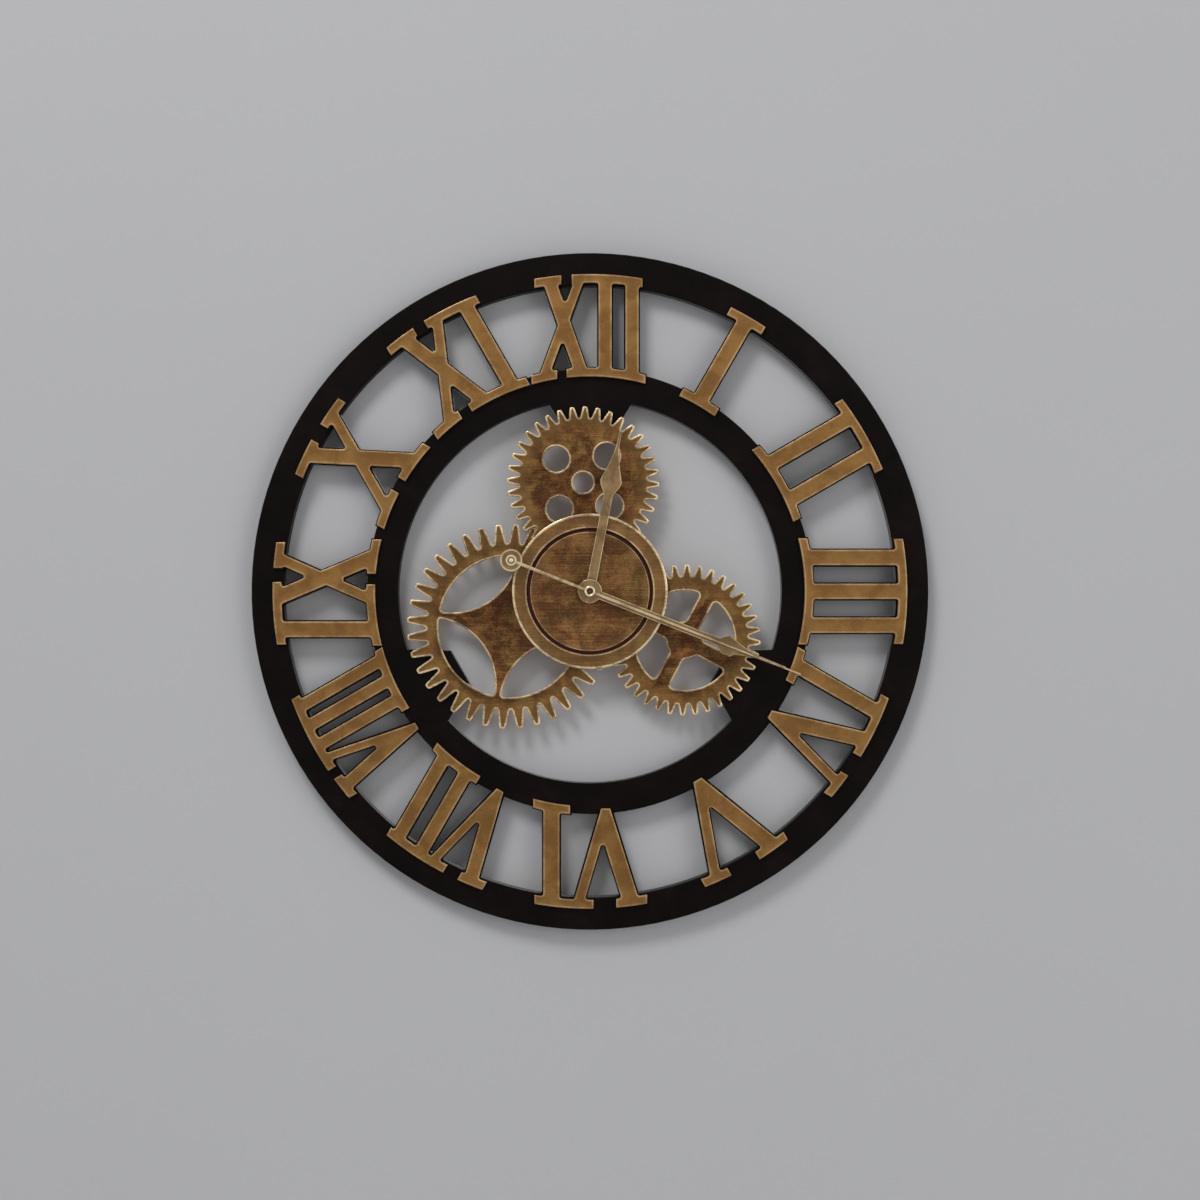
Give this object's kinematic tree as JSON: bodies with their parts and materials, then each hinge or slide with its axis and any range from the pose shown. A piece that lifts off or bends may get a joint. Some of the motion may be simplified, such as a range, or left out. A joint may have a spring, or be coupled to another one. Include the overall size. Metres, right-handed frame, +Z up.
{
  "type": "wall clock",
  "caption": "Large round open-frame wall clock: Roman numeral plates bridge two rings, fixed gears carry a turned disc, and a battery movement drives spade hands.",
  "frame": {"origin": "on the dial axis, in the plane of the wall behind the clock", "axes": "+Z up to twelve o'clock, +X to three o'clock as seen from the front, +Y into the wall; the dial faces -Y"},
  "size_m": [0.4499, 0.0304, 0.45],
  "materials": {
    "frame_black": "black stained board, satin lacquer",
    "numeral_gold": "brushed antique gold plate with bright cut edges",
    "gear_bronze": "aged bronze plate, worn bright at the edges",
    "spacer_plastic": "dark plastic",
    "disc_bronze": "turned and brushed bronze, mottled",
    "zinc_steel": "zinc plated steel",
    "case_plastic": "fine grained black plastic",
    "bright_brass": "turned brass",
    "black_rubber": "black rubber",
    "cell_label": "printed plain sleeve with bare metal ends",
    "nickel_steel": "nickel plated steel",
    "board_green": "green board",
    "can_metal": "drawn metal can",
    "bobbin_plastic": "natural plastic",
    "copper_wire": "enamelled copper wire",
    "stator_iron": "soft iron sheet",
    "magnet_dark": "sintered magnet",
    "wheel_plastic": "natural plastic",
    "knob_plastic": "light grey plastic",
    "hand_bronze": "bronze lacquered metal"
  },
  "bodies": {
    "root": {"outer_ring": "frame_black", "inner_ring": "frame_black", "numeral_back_1": "frame_black", "numeral_back_2": "frame_black", "numeral_back_3": "frame_black", "numeral_back_4": "frame_black", "numeral_back_5": "frame_black", "numeral_back_6": "frame_black", "numeral_back_7": "frame_black", "numeral_back_8": "frame_black", "numeral_back_9": "frame_black", "numeral_back_10": "frame_black", "numeral_back_11": "frame_black", "numeral_back_12": "frame_black", "numeral_1": "numeral_gold", "numeral_2": "numeral_gold", "numeral_3": "numeral_gold", "numeral_4": "numeral_gold", "numeral_5": "numeral_gold", "numeral_6": "numeral_gold", "numeral_7": "numeral_gold", "numeral_8": "numeral_gold", "numeral_9": "numeral_gold", "numeral_10": "numeral_gold", "numeral_11": "numeral_gold", "numeral_12": "numeral_gold", "left_gear": "gear_bronze", "right_gear": "gear_bronze", "top_gear": "gear_bronze", "gear_spacers": "spacer_plastic", "centre_disc": "disc_bronze", "hanger_plate": "zinc_steel", "hanger_screws": "zinc_steel", "movement_case": "case_plastic", "movement_cover": "case_plastic", "shaft_bushing": "bright_brass", "rubber_gasket": "black_rubber", "brass_washer": "bright_brass", "hex_nut": "bright_brass", "battery_contacts": "nickel_steel", "circuit_board": "board_green", "quartz_crystal": "can_metal", "coil_bobbin": "bobbin_plastic", "coil_winding": "copper_wire", "stator": "stator_iron"},
    "cell": {"battery": "cell_label"},
    "second": {"second_hand": "hand_bronze", "second_wheel": "wheel_plastic"},
    "third": {"third_wheel": "wheel_plastic"},
    "centre": {"centre_wheel": "bright_brass"},
    "drive": {"drive_wheel": "wheel_plastic"},
    "rotor": {"rotor": "magnet_dark"},
    "minute": {"minute_hand": "hand_bronze", "minute_arbor": "nickel_steel"},
    "hour": {"hour_hand": "hand_bronze", "hour_wheel": "wheel_plastic"},
    "motion": {"motion_wheel": "wheel_plastic"},
    "knob": {"setting_knob": "knob_plastic"}
  },
  "joints": [
    {"name": "second_turn", "type": "hinge", "parent": "root", "child": "second", "pos_m": [0, 0, 0], "axis": [0, 1, 0], "continuous": true},
    {"name": "third_turn", "type": "hinge", "parent": "root", "child": "third", "pos_m": [0.00408, 0, 0.00707], "axis": [0, 1, 0], "continuous": true},
    {"name": "centre_turn", "type": "hinge", "parent": "root", "child": "centre", "pos_m": [0, 0, 0], "axis": [0, 1, 0], "continuous": true},
    {"name": "drive_turn", "type": "hinge", "parent": "root", "child": "drive", "pos_m": [0.00864, 0, 0], "axis": [0, 1, 0], "continuous": true},
    {"name": "rotor_turn", "type": "hinge", "parent": "root", "child": "rotor", "pos_m": [0.01312, 0, 0.00534], "axis": [0, 1, 0], "continuous": true},
    {"name": "minute_turn", "type": "hinge", "parent": "root", "child": "minute", "pos_m": [0, 0, 0], "axis": [0, 1, 0], "continuous": true},
    {"name": "hour_turn", "type": "hinge", "parent": "root", "child": "hour", "pos_m": [0, 0, 0], "axis": [0, 1, 0], "continuous": true},
    {"name": "motion_turn", "type": "hinge", "parent": "root", "child": "motion", "pos_m": [-0.00768, 0, 0], "axis": [0, 1, 0], "continuous": true},
    {"name": "knob_turn", "type": "hinge", "parent": "root", "child": "knob", "pos_m": [-0.01536, 0, 0], "axis": [0, 1, 0], "continuous": true},
    {"name": "battery_slide", "type": "slide", "parent": "root", "child": "cell", "axis": [0, 1, 0], "range_m": [0, 0.018]}
  ],
  "couplings": [
    {"joint": "third_turn", "follows": "second_turn", "ratio": -0.13333},
    {"joint": "centre_turn", "follows": "second_turn", "ratio": 0.016667},
    {"joint": "drive_turn", "follows": "second_turn", "ratio": -5},
    {"joint": "rotor_turn", "follows": "second_turn", "ratio": 30},
    {"joint": "hour_turn", "follows": "minute_turn", "ratio": 0.083333},
    {"joint": "motion_turn", "follows": "minute_turn", "ratio": -0.33333},
    {"joint": "knob_turn", "follows": "minute_turn", "ratio": 1}
  ]
}
